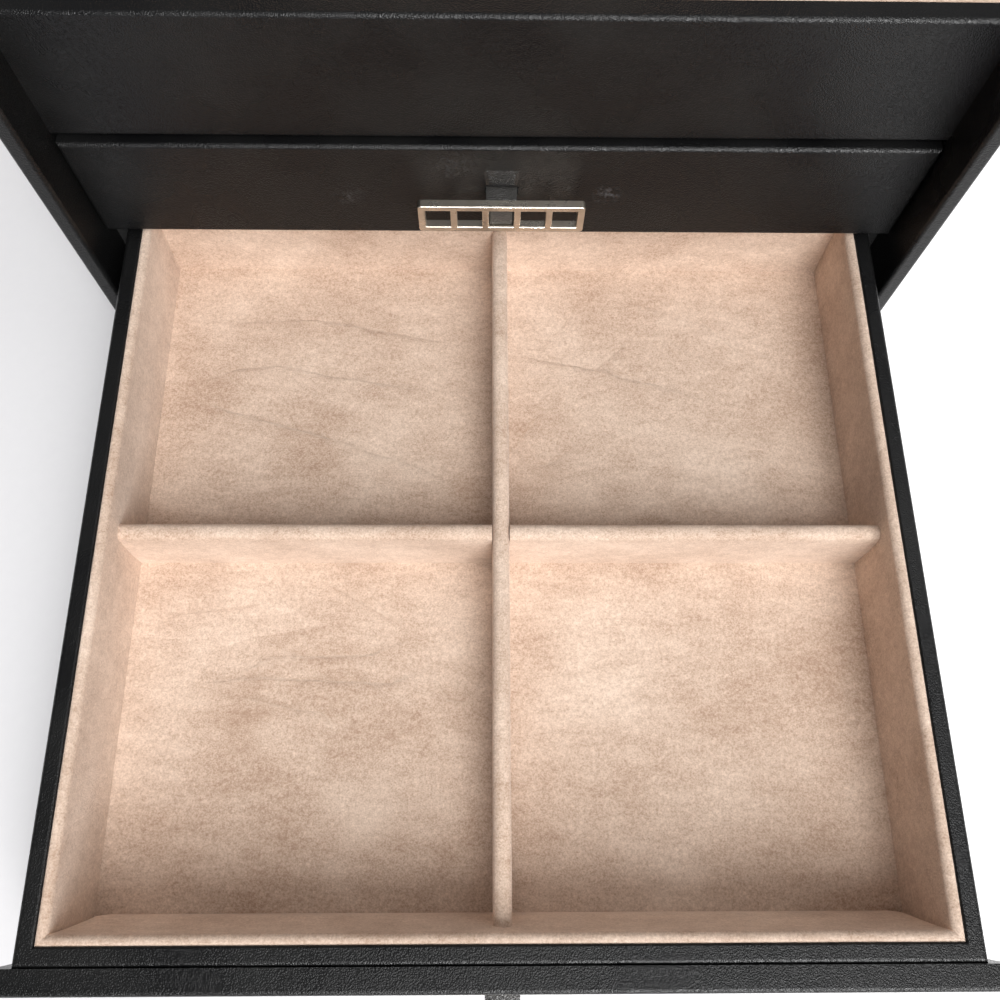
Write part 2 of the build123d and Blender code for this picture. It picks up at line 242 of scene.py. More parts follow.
@dataclass(frozen=True)
class Suede(Finish):
    """Tan microfibre suede glued over card: a short brushed nap on a cloth back.

    The nap lies in clouds and strokes of lighter and darker tan, with hair-fine creases from the gluing and a painted
    highlight along each crease.
    """

    shade: str = "AC8F7A"
    light: str = "E9D3C1"
    # painted highlight: the lighter colour painted along the creases
    crease_highlight_colour: str = "F1DFCC"
    sheen: str = "FBF0E6"
    cloud_mm: float = 34.0
    stroke_mm: float = 10.0
    stroke_turn: Triple = (0.0, 0.0, 0.35)
    stroke_stretch: Triple = (1.0, 2.4, 1.6)
    fleck_mm: float = 1.5
    nap_mm: float = 0.5
    nap_depth_mm: float = 0.2
    crease_mm: float = 60.0
    fold_drift_mm: float = 70.0
    fold_reach: Triple = (0.07, 0.05, 0.05)
    fold_width: float = 0.012
    fold_height: float = 0.25
    tone_shares: tuple[float, ...] = (0.6, 0.95, 0.8, 0.1)  # strokes, fibres, flecks, sides of the net
    tone_range: Pair = (0.86, 1.7)
    crease_highlight_share: float = 0.3
    height_shares: Pair = (1.0, 0.8)  # flecks, fibres
    nap_bump: float = 0.55

    def paint(self, tree: Tree, place: Socket, shader: Node) -> None:
        """Clouds, strokes and fibres of the nap over a net of fine creases, with a painted highlight along the floor's
        creases.
        """
        brushed = {"Vector": place, "Rotation": self.stroke_turn, "Scale": self.stroke_stretch}
        stroked = add_node(tree, "Mapping", brushed)
        clouds = add_node(tree, "TexNoise", {"Vector": place} | features(self.cloud_mm, 2.0))
        strokes = add_node(tree, "TexNoise", {"Vector": stroked} | features(self.stroke_mm, 4.0, 0.6))
        flecks = add_node(tree, "TexNoise", {"Vector": place} | features(self.fleck_mm, 3.0, 0.7))
        fibres = add_node(tree, "TexNoise", {"Vector": place} | features(self.nap_mm, 1.0, 0.7))
        drift = add_node(tree, "TexNoise", {"Vector": stroked, "Scale": per_metre(self.fold_drift_mm), "Detail": 1.0})
        bend = (drift.outputs["Color"], self.fold_reach, stroked)
        net = {
            "Vector": add_node(tree, "VectorMath", bend, operation="MULTIPLY_ADD"), "Scale": per_metre(self.crease_mm),
        }
        folds = add_node(tree, "TexVoronoi", net, feature="DISTANCE_TO_EDGE")
        sides = add_node(tree, "TexVoronoi", net, feature="F1").outputs["Color"]
        side_tone = add_node(tree, "SeparateColor", (sides,))
        tone = add_node(tree, "MapRange", (clouds, 0.3, 0.7, -0.1, 0.25))
        for layer, share in zip((strokes, fibres, flecks, side_tone), self.tone_shares):
            tone = add_node(tree, "Math", (layer, share, tone), operation="MULTIPLY_ADD")
        shown = add_node(tree, "MapRange", (tone, *self.tone_range))
        colour = add_node(tree, "Mix", {0: shown, 6: self.shade, 7: self.light}, data_type="RGBA").outputs[2]
        # painted highlight: the suede is painted lighter along the creases that the floor marks
        drawn = add_node(tree, "Attribute", attribute_name="crease").outputs["Fac"]
        pale = add_node(tree, "MapRange", (drawn, 0.0, 1.0, 0.0, self.crease_highlight_share))
        colour = add_node(tree, "Mix", {0: pale, 6: colour, 7: self.crease_highlight_colour}, data_type="RGBA").outputs[2]
        height = add_node(tree, "MapRange", (folds, 0.0, self.fold_width, 0.0, self.fold_height))
        for layer, share in zip((flecks, fibres), self.height_shares):
            height = add_node(tree, "Math", (layer, share, height), operation="MULTIPLY_ADD")
        nap = {"Strength": self.nap_bump, "Distance": self.nap_depth_mm * MM, "Height": height}
        fill(shader, {
            "Base Color": colour, "Normal": add_node(tree, "Bump", nap), "Roughness": 0.95,
            "Specular IOR Level": 0.15, "Sheen Weight": 0.45, "Sheen Roughness": 0.5, "Sheen Tint": self.sheen,
        })


@dataclass(frozen=True)
class Fibrous(Finish):
    """Matted black fibres with no direction: fibreboard faced with matt paper, or needled felt."""

    colour: str = "161616"
    light: str = "232323"
    fibre_mm: float = 1.4
    fibre_depth_mm: float = 0.05
    detail: Pair = (5.0, 0.6)
    light_from: float = 0.7
    relief: float = 0.4
    roughness: float = 0.78
    gloss: float = 0.35
    fuzz: float = 0.0

    def paint(self, tree: Tree, place: Socket, shader: Node) -> None:
        """A faint mottle of fibres in the colour and in the face."""
        fibres = add_node(tree, "TexNoise", {"Vector": place} | features(self.fibre_mm, *self.detail))
        share = add_node(tree, "MapRange", (fibres, 0.35, self.light_from))
        colour = add_node(tree, "Mix", {0: share, 6: self.colour, 7: self.light}, data_type="RGBA").outputs[2]
        relief = {"Strength": self.relief, "Distance": self.fibre_depth_mm * MM, "Height": fibres}
        fill(shader, {
            "Base Color": colour, "Normal": add_node(tree, "Bump", relief), "Roughness": self.roughness,
            "Specular IOR Level": self.gloss, "Sheen Weight": self.fuzz, "Sheen Roughness": 0.5,
        })


@dataclass(frozen=True)
class PlatedMetal(Finish):
    """Die-cast or rolled metal with a bright plated skin, polished and lightly handled."""

    colour: str = "D8CFC2"
    dull_colour: str = "BDB2A3"
    roughness: float = 0.17
    haze_mm: float = 6.0
    hairline_mm: float = 0.12
    hairline_stretch: float = 0.03

    def paint(self, tree: Tree, place: Socket, shader: Node) -> None:
        """Handling haze, and hairlines along the length that dull the gloss."""
        haze = add_node(tree, "TexNoise", {"Vector": place} | features(self.haze_mm, 2.0))
        dulled = add_node(tree, "MapRange", (haze, 0.4, 0.75))
        colour = add_node(tree, "Mix", {0: dulled, 6: self.colour, 7: self.dull_colour}, data_type="RGBA").outputs[2]
        stretched = add_node(tree, "Mapping", {"Vector": place, "Scale": (self.hairline_stretch, 1.0, 1.0)})
        hairlines = add_node(tree, "TexNoise", {"Vector": stretched} | features(self.hairline_mm, 2.0))
        worn = add_node(tree, "Math", (hairlines, 0.3, haze), operation="MULTIPLY_ADD")
        rough = add_node(tree, "MapRange", (worn, 0.4, 0.9, self.roughness - 0.04, self.roughness + 0.1))
        fill(shader, {"Metallic": 1.0, "Base Color": colour, "Roughness": rough})


LEATHER = GrainedLeather("grained_black_leather")
SCUFFED_LEATHER = GrainedLeather("scuffed_black_leather", smudges=(
    Smudge((32.0, -115.9, 67.5), 5.0, 0.5),
    Smudge((-46.0, -115.9, 66.5), 6.0, 0.22),
    Smudge((-14.0, -115.9, 80.0), 8.0, 0.12),
))
TAB_LEATHER = GrainedLeather(
    "tab_leather", colour="333230", worn_colour="4C4A48", grain_mm=0.55, grain_depth_mm=0.2, roughness=0.3, gloss=0.5
)
# A lighter, glossier leather for the swell above each tab.
SWELL_LEATHER = GrainedLeather(
    "lighter_swell_leather", colour="1A1A1A", worn_colour="272625", grain_mm=0.55, grain_depth_mm=0.2, gloss=0.4
)
SUEDE = Suede("tan_suede")
# Dull paper with a faint mottle.
BOARD = Fibrous("paper_faced_board")
# Coarser, matted and without gloss.
FELT = Fibrous(
    "black_felt", colour="141414", light="2B2A2A", fibre_mm=0.6, fibre_depth_mm=0.2, detail=(6.0, 0.75),
    light_from=0.68, relief=0.9, roughness=0.97, gloss=0.1, fuzz=0.25,
)
NICKEL = PlatedMetal("polished_nickel_plate", roughness=0.27)
BRASS = PlatedMetal("satin_brass", colour="CDB079", dull_colour="A98C58", roughness=0.3)


# ---- modelling bench
class Workpiece:
    """One mesh under work, shaped in edit mode from a primitive."""

    def __init__(self, name: str, low: Vector, high: Vector, spacing_mm: float = 0.0) -> None:
        """Start from a cube between two corners, or from a flat grid at the top of that box.

        Args:
            name: The piece's name.
            low: Its lowest corner in metres.
            high: Its highest corner in metres.
            spacing_mm: Distance between the grid's lines, where it is one.
        """
        clear_selection()
        size, middle = high - low, (low + high) / 2
        if spacing_mm:
            cuts = [max(2, round(side / (spacing_mm * MM))) for side in size[:2]]
            size.z, middle.z = 1.0, high.z
            bpy.ops.mesh.primitive_grid_add(x_subdivisions=cuts[0], y_subdivisions=cuts[1], size=1.0, location=middle)
        else:
            bpy.ops.mesh.primitive_cube_add(size=1.0, location=middle)
        self.obj = bpy.context.object
        self.obj.name = self.obj.data.name = name
        self.obj.scale = size
        bpy.ops.object.transform_apply(location=True, rotation=True, scale=True)

    def select(self, kind: str = "FACE", test: Callable = lambda item: True) -> int:
        """Enter edit mode and select the faces or edges that pass a test.

        Args:
            kind: "EDGE" or "FACE".
            test: Takes a face or edge and says whether it is wanted; all of them are at first.

        Returns:
            How many are selected.
        """
        make_active(self.obj)
        bpy.ops.object.mode_set(mode="EDIT")
        bpy.ops.mesh.select_mode(type=kind)
        bpy.ops.mesh.select_all(action="DESELECT")
        shape = bmesh.from_edit_mesh(self.obj.data)
        found = 0
        for item in shape.edges if kind == "EDGE" else shape.faces:
            if test(item):
                item.select_set(True)
                found += 1
        bmesh.update_edit_mesh(self.obj.data)
        return found

    def rest(self) -> None:
        """Leave edit mode."""
        bpy.ops.object.mode_set(mode="OBJECT")

    def cut(self, point: Vector, normal: Vector) -> None:
        """Cut with a plane and throw away what lies along its normal.

        Args:
            point: A point of the plane.
            normal: The plane's normal.
        """
        self.select()
        bpy.ops.mesh.bisect(plane_co=point, plane_no=normal, use_fill=True, clear_outer=True)
        self.rest()

    def slice(self, axis: int, places: list[float]) -> None:
        """Cut edge loops across the piece.

        Args:
            axis: Number of the axis that they are spaced along.
            places: Where they lie on it, in metres.
        """
        normal = Vector((axis == 0, axis == 1, axis == 2))
        for place in places:
            self.select()
            bpy.ops.mesh.bisect(plane_co=normal * place, plane_no=normal)
            self.rest()

    def extrude(self, test: Callable, shift: Triple) -> None:
        """Extrude the faces that pass a test, as one region.

        Args:
            test: Takes a face and says whether it is wanted.
            shift: How far they go, in metres.
        """
        if self.select("FACE", test):
            bpy.ops.mesh.extrude_region_move(TRANSFORM_OT_translate={"value": shift})
        self.rest()

    def turn(self, degrees: float, centre: Vector) -> None:
        """Turn the piece right-handed about an axis parallel to X; the operator itself counts the other way.

        Args:
            degrees: Angle of the turn.
            centre: A point on the axis.
        """
        self.select()
        bpy.ops.transform.rotate(value=-math.radians(degrees), orient_axis="X", center_override=centre)
        self.rest()

    def round_edges(self, test: Callable, radius: float, segments: int) -> None:
        """Round the edges that pass a test.

        Args:
            test: Takes an edge and says whether it is wanted.
            radius: Radius in metres.
            segments: Number of strips in the rounding.
        """
        if self.select("EDGE", test):
            bpy.ops.mesh.bevel(offset=radius, segments=segments, profile=0.5, affect="EDGES", clamp_overlap=True)
        self.rest()

    def divide(self, axis: int, spacing: float) -> None:
        """Subdivide the edges that run along an axis.

        Args:
            axis: The axis's number.
            spacing: About how long they become, in metres.
        """
        corners = np.array([v.co for v in self.obj.data.vertices])
        length = float(np.ptp(corners[:, axis]))
        cuts = max(1, round(length / spacing) - 1)
        if self.select("EDGE", lambda edge: runs_along(edge, axis) and edge.calc_length() > length * 0.6):
            bpy.ops.mesh.subdivide(number_cuts=cuts)
        self.rest()

    def move(self, shift: Callable[[Vector], Vector]) -> None:
        """Move every vertex.

        Args:
            shift: Says for a vertex's place how far it goes.
        """
        for vertex in self.obj.data.vertices:
            vertex.co += shift(vertex.co)
        self.obj.data.update()

    def subtract(self, low: Vector, high: Vector) -> None:
        """Cut a box out with a boolean that is applied.

        Args:
            low: The box's lowest corner in metres.
            high: Its highest corner in metres.
        """
        cutter = Workpiece("notch_cutter", low, high)
        make_active(self.obj)
        boolean = self.obj.modifiers.new("notch", "BOOLEAN")
        boolean.operation, boolean.solver, boolean.object = "DIFFERENCE", "EXACT", cutter.obj
        bpy.ops.object.modifier_apply(modifier=boolean.name)
        bpy.data.objects.remove(cutter.obj)

    def finish(
        self, body: str, slot: str, finish: Finish, replaces: tuple[str, ...] = (), angle: float = 40.0
    ) -> Object:
        """Mend the normals, shade, dress and hang the piece on its body.

        Args:
            body: The CAD body that carries it.
            slot: The record's material slot; not used.
            finish: Its surface finish.
            replaces: The CAD nodes that it stands for.
            angle: Faces meeting at less than this are shaded smooth.

        Returns:
            The finished object.
        """
        self.select()
        bpy.ops.mesh.normals_make_consistent(inside=False)
        self.rest()
        bpy.ops.object.shade_smooth_by_angle(angle=math.radians(angle))
        self.obj.data.materials.clear()
        self.obj.data.materials.append(finish.material())
        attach(self.obj, body)
        if replaces:
            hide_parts(*replaces)
        log.info("%s: %d faces on %s", self.obj.name, len(self.obj.data.polygons), body)
        return self.obj


def runs_along(edge: bmesh.types.BMEdge, axis: int) -> bool:
    """Whether an edge is parallel to an axis."""
    run = edge.verts[1].co - edge.verts[0].co
    return abs(run[axis]) > 0.999 * run.length


def ripple(place: Vector, wave_mm: Pair, seed: float) -> float:
    """Smooth noise at a place in millimetres, for a wave's height and the size of its features."""
    height, size = wave_mm
    return height * noise.noise(place * per_metre(size) + Vector((seed, seed * 1.7, seed * 0.3)))


# ---- suede-lined trays
class Side(Enum):
    """A side of a tray: the direction from its lining towards the middle."""

    FRONT = (0, 1)
    BACK = (0, -1)
    LEFT = (1, 0)
    RIGHT = (-1, 0)

    @property
    def inward(self) -> Vector:
        """Unit vector towards the middle of the tray."""
        return Vector((*self.value, 0.0))

    @property
    def along(self) -> int:
        """Number of the axis that the lining runs along."""
        return abs(self.value[0])


@dataclass(frozen=True)
class Crease:
    """A crease in the glued suede: points in millimetres from the middle of the tray, and its strength."""

    points: tuple[Pair, ...]
    strength: float = 1.0
    end_fade: float = 4.5

    def trace(self, places: np.ndarray) -> tuple[np.ndarray, np.ndarray, np.ndarray]:
        """How some places lie beside the crease.

        Args:
            places: Points in metres from the middle of the tray.

        Returns:
            Their distance to it, the side they lie on, and how strong it is there.
        """
        nearest = np.full(len(places), 1.0)
        side, fade = np.zeros(len(places)), np.zeros(len(places))
        bends = np.array(self.points) * MM
        for index, (start, end) in enumerate(zip(bends, bends[1:])):
            run = end - start
            offset = places - start
            share = np.clip(offset @ run / (run @ run), 0.0, 1.0)
            away = np.linalg.norm(offset - share[:, None] * run, axis=1)
            closer = away < nearest
            nearest = np.where(closer, away, nearest)
            side = np.where(closer, np.sign(offset[:, 0] * run[1] - offset[:, 1] * run[0]), side)
            total = (index + share) / (len(bends) - 1)
            fade = np.where(closer, np.clip(self.end_fade * np.minimum(total, 1.0 - total), 0.0, 1.0), fade)
        return nearest, side, fade * self.strength


DRAWER_CREASES = (
    Crease(((-103, 86), (-62, 87), (-46, 84), (-10, 77))),
    Crease(((-104, 62), (-89, 68), (-74, 69), (-52, 64), (-34, 61), (-11, 59)), 0.8),
    Crease(((-99, 55), (-89, 51), (-58, 42), (-26, 31), (-14, 23))),
    Crease(((4, 74), (33, 68), (72, 56)), 0.9),
    Crease(((33, 68), (45, 79)), 0.6),
    Crease(((13, 72), (20, 82), (28, 93)), 0.6),
    Crease(((36, 94), (46, 94), (55, 92), (72, 86), (85, 73), (95, 66)), 0.6),
    Crease(((59, 79), (73, 71)), 0.6),
    Crease(((4, 36), (14, 51)), 0.7),
    Crease(((8, 31), (18, 33), (32, 43)), 0.7),
    Crease(((-92, -40), (-72, -38), (-33, -40), (-23, -35))),
    Crease(((-82, -38), (-74, -34), (-72, -32), (-40, -31), (-24, -25)), 0.9),
    Crease(((-113, -24), (-98, -18), (-76, -15), (-74, -14)), 0.6),
    Crease(((-58, -6), (-28, -23)), 0.7),
    Crease(((-88, -42), (-65, -47), (-53, -49), (-48, -55)), 0.7),
    Crease(((-22, -35), (-16, -45), (-3, -46)), 0.8),
    Crease(((33, -17), (58, -34)), 0.4),
)


@dataclass
class SuedeTray:
    """The suede-covered cards and dividers inside one drawer or the top compartment."""

    prefix: str
    body: str
    seed: float
    creases: tuple[Crease, ...]
    cross_dividers: str
    spacing_mm: float = 3.0
    run_spacing_mm: float = 2.5
    rise_spacing_mm: float = 4.0
    crease_reach_mm: float = 0.45
    crease_width_mm: float = 0.28
    crease_depth_mm: float = 0.05
    step_mm: float = 0.2
    step_fade_mm: float = 8.0
    floor_wave_mm: Pair = (0.22, 34.0)
    floor_ripple_mm: Pair = (0.08, 9.0)
    edge_calm_mm: float = 4.0
    wall_wave_mm: Pair = (0.18, 22.0)
    wall_droop_mm: Pair = (0.15, 31.0)
    lining_swell_mm: float = 1.3
    lining_round_mm: float = 1.9
    lining_back_round_mm: float = 0.7
    front_lean_mm: float = 3.0
    lean_top: float = 0.93
    lean_span: float = 0.6
    lean_curve: float = 1.3
    mitre_reach_mm: float = 15.0
    divider_round_mm: float = 2.2
    divider_sway_mm: Pair = (0.12, 24.0)
    divider_swell_mm: float = 0.1
    divider_top_mm: Pair = (0.1, 27.0)
    cross_count: int = 1
    joint_play_mm: float = 0.15

    def build(self) -> None:
        """Make the floor, the four linings and the dividers."""
        self.floor()
        for side in Side:
            self.wall(side)
        self.dividers()

    def floor(self) -> None:
        """Floor card: a softly uneven sheet with its creases cut in, closed underneath."""
        node = f"{self.prefix}floor_card"
        low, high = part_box(node)
        middle = (low + high) / 2
        piece = Workpiece(f"{self.prefix}suede_floor", low, high, self.spacing_mm)
        for crease in self.creases:
            bends = [Vector((middle.x + x * MM, middle.y + y * MM, high.z)) for x, y in crease.points]
            for start, end in zip(bends, bends[1:]):
                self.score(piece, start, end)
        self.raise_floor(piece, low, high)
        piece.select("EDGE", lambda edge: edge.is_boundary)
        drop = (0.0, 0.0, low.z - high.z)
        bpy.ops.mesh.extrude_region_move(TRANSFORM_OT_translate={"value": drop})
        bpy.ops.mesh.edge_face_add()
        piece.rest()
        piece.finish(self.body, "suede", SUEDE, (node,), angle=60.0)

    def score(self, piece: Workpiece, start: Vector, end: Vector) -> None:
        """Cut one straight run of a crease into the floor's faces and widen it to a narrow strip.

        Args:
            piece: The floor under work.
            start: One end of the run.
            end: Its other end.
        """
        run = end - start
        reach = self.spacing_mm * MM * 0.75
        across = run.cross(Vector((0.0, 0.0, 1.0))).normalized()

        def beside(face: bmesh.types.BMFace) -> bool:
            """Whether a face lies on the run."""
            offset = face.calc_center_median() - start
            share = offset.dot(run) / run.length_squared
            return -0.02 < share < 1.02 and abs(offset.dot(across)) < reach

        for shift in (-self.crease_reach_mm, 0.0, self.crease_reach_mm):
            if piece.select("FACE", beside):
                bpy.ops.mesh.bisect(plane_co=start + across * shift * MM, plane_no=across)
            piece.rest()

    def raise_floor(self, piece: Workpiece, low: Vector, high: Vector) -> None:
        """Give the floor its soft unevenness, press the creases in and mark them for the suede's painted highlight.

        Args:
            piece: The floor under work.
            low: The card's lowest corner.
            high: The card's highest corner.
        """
        mesh = piece.obj.data
        places = np.array([v.co for v in mesh.vertices])[:, :2] - np.array((low + high)[:2]) / 2
        lift, crease_highlight_mask = np.zeros(len(places)), np.zeros(len(places))
        for crease in self.creases:
            nearest, side, depth = crease.trace(places)
            pressed = np.exp(-(nearest / (self.crease_width_mm * MM)) ** 2) * depth
            lift -= pressed * self.crease_depth_mm * MM
            lift += side * np.exp(-nearest / (self.step_fade_mm * MM)) * depth * self.step_mm * MM
            crease_highlight_mask = np.maximum(crease_highlight_mask, pressed)
        for vertex, raised in zip(mesh.vertices, lift):
            inset = min(vertex.co.x - low.x, high.x - vertex.co.x, vertex.co.y - low.y, high.y - vertex.co.y)
            edge = clamp(inset / (self.edge_calm_mm * MM))
            soft = ripple(vertex.co, self.floor_wave_mm, self.seed)
            soft += ripple(vertex.co, self.floor_ripple_mm, self.seed + 3.0)
            vertex.co.z += raised + edge * soft * MM
        # mask of the creases, where the suede paints its painted highlight
        attribute = mesh.attributes.new("crease", "FLOAT", "POINT")
        attribute.data.foreach_set("value", crease_highlight_mask.astype(np.float32))
        mesh.update()

    def wall(self, side: Side) -> None:
        """One wall lining: a card with mitred ends, a rounded padded top and a soft swelling face.

        Args:
            side: The side of the tray that it lines.
        """
        node = f"{self.prefix}lining_{side.name.lower()}"
        low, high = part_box(node)
        across = 1 - side.along
        outer = low[across] if side.inward[across] > 0 else high[across]
        near, far = low.copy(), high.copy()
        for corner in (near, far):
            if corner[across] != outer:
                corner[across] += side.inward[across] * self.lining_swell_mm * MM
        piece = Workpiece(f"{self.prefix}suede_{side.name.lower()}", near, far)
        for end in (-1, 1):
            corner = near.copy() if end < 0 else far.copy()
            corner[across] = outer
            normal = side.inward.copy()
            normal[side.along] = end
            piece.cut(corner, normal.normalized())

        def top_edge(edge: bmesh.types.BMEdge, inner: bool) -> bool:
            """Whether an edge is the inner or the outer long edge at the top."""
            place = edge.verts[0].co
            is_inner = abs(place[across] - outer) > 0.5 * MM
            return runs_along(edge, side.along) and place.z > high.z - TINY and is_inner == inner

        piece.round_edges(lambda edge: top_edge(edge, True), self.lining_round_mm * MM, 8)
        piece.round_edges(lambda edge: top_edge(edge, False), self.lining_back_round_mm * MM, 4)
        piece.divide(2, self.spacing_mm * MM)
        piece.divide(side.along, self.run_spacing_mm * MM)
        depth = high.z - low.z
        length = high[side.along] - low[side.along]
        foot = self.front_lean_mm if side is Side.FRONT and self.prefix == "lower_" else -self.lining_swell_mm

        def shift(place: Vector) -> Vector:
            """Thin or thicken the card towards its foot, and let face and top waver a little."""
            up = (place.z - low.z) / depth
            share = (place[side.along] - low[side.along]) / length
            ends = min(1.0, 12.0 * min(share, 1.0 - share))
            thick = abs(place[across] - outer) / abs(high[across] - low[across] + self.lining_swell_mm * MM)
            lean = foot * clamp((self.lean_top - up) / self.lean_span) ** self.lean_curve
            wave = ripple(place, self.wall_wave_mm, self.seed + side.value[0] * 5) * ends * min(1.0, up * 3)
            droop = ripple(place, self.wall_droop_mm, self.seed + 9.0) * ends if up > 0.9 else 0.0
            moved = side.inward * ((lean + wave) * thick * MM) + Vector((0.0, 0.0, droop * MM))
            to_end = min(share, 1.0 - share) * length - abs(place[across] - outer)
            mitre = clamp(1.0 - to_end / (self.mitre_reach_mm * MM))
            moved[side.along] = (lean + wave) * thick * mitre * math.copysign(1.0, 0.5 - share) * MM
            return moved

        piece.move(shift)
        piece.finish(self.body, "suede", SUEDE, (node,))

    def divider(self, name: str, low: Vector, high: Vector, along: int) -> Workpiece:
        """A suede-covered divider with a fully rounded top.

        Args:
            name: The piece's name.
            low: Its lowest corner.
            high: Its highest corner.
            along: Number of the axis that it runs along.

        Returns:
            The workpiece.
        """
        piece = Workpiece(name, low, high)
        piece.round_edges(
            lambda edge: runs_along(edge, along) and edge.verts[0].co.z > high.z - TINY, self.divider_round_mm * MM, 7
        )
        piece.divide(2, self.rise_spacing_mm * MM)
        piece.divide(along, self.run_spacing_mm * MM)
        depth = high.z - low.z
        middle = (low[1 - along] + high[1 - along]) / 2

        def shift(place: Vector) -> Vector:
            """Let the faces swell and the top waver a little."""
            up = (place.z - low.z) / depth
            moved = Vector()
            sway = ripple(place * 0.7, self.divider_sway_mm, self.seed + along) * up
            swell = self.divider_swell_mm * math.sin(math.pi * min(1.0, up * 1.1))
            moved[1 - along] = (sway + math.copysign(swell, place[1 - along] - middle)) * MM
            moved.z = ripple(place, self.divider_top_mm, self.seed + 4.0) * MM if up > 0.85 else 0.0
            return moved

        piece.move(shift)
        return piece

    def dividers(self) -> None:
        """The long divider over the cross dividers, halved into each other."""
        node = f"{self.prefix}long_divider"
        low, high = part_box(node)
        cross_low, cross_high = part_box(self.cross_dividers)
        half = (high.x - low.x) / 2
        step = (cross_high.y - cross_low.y - 2 * half) / max(1, self.cross_count - 1)
        middles = [cross_low.y + half + step * index for index in range(self.cross_count)]
        halfway = (low.z + high.z) / 2
        play = self.joint_play_mm * MM
        long_piece = self.divider(f"{self.prefix}suede_long_divider", low, high, 1)
        for y in middles:
            notch_low = Vector((-CUTTER, y - half - play, low.z - CUTTER))
            long_piece.subtract(notch_low, Vector((CUTTER, y + half + play, halfway)))
        long_piece.finish(self.body, "suede", SUEDE, (node,))
        for number, y in enumerate(middles, 1):
            start = Vector((cross_low.x, y - half, cross_low.z))
            end = Vector((cross_high.x, y + half, cross_high.z))
            piece = self.divider(f"{self.prefix}suede_cross_divider_{number}", start, end, 0)
            notch_low = Vector((-half - play, y - CUTTER, halfway))
            piece.subtract(notch_low, Vector((half + play, y + CUTTER, high.z + CUTTER)))
            piece.finish(self.body, "suede", SUEDE, (self.cross_dividers,))


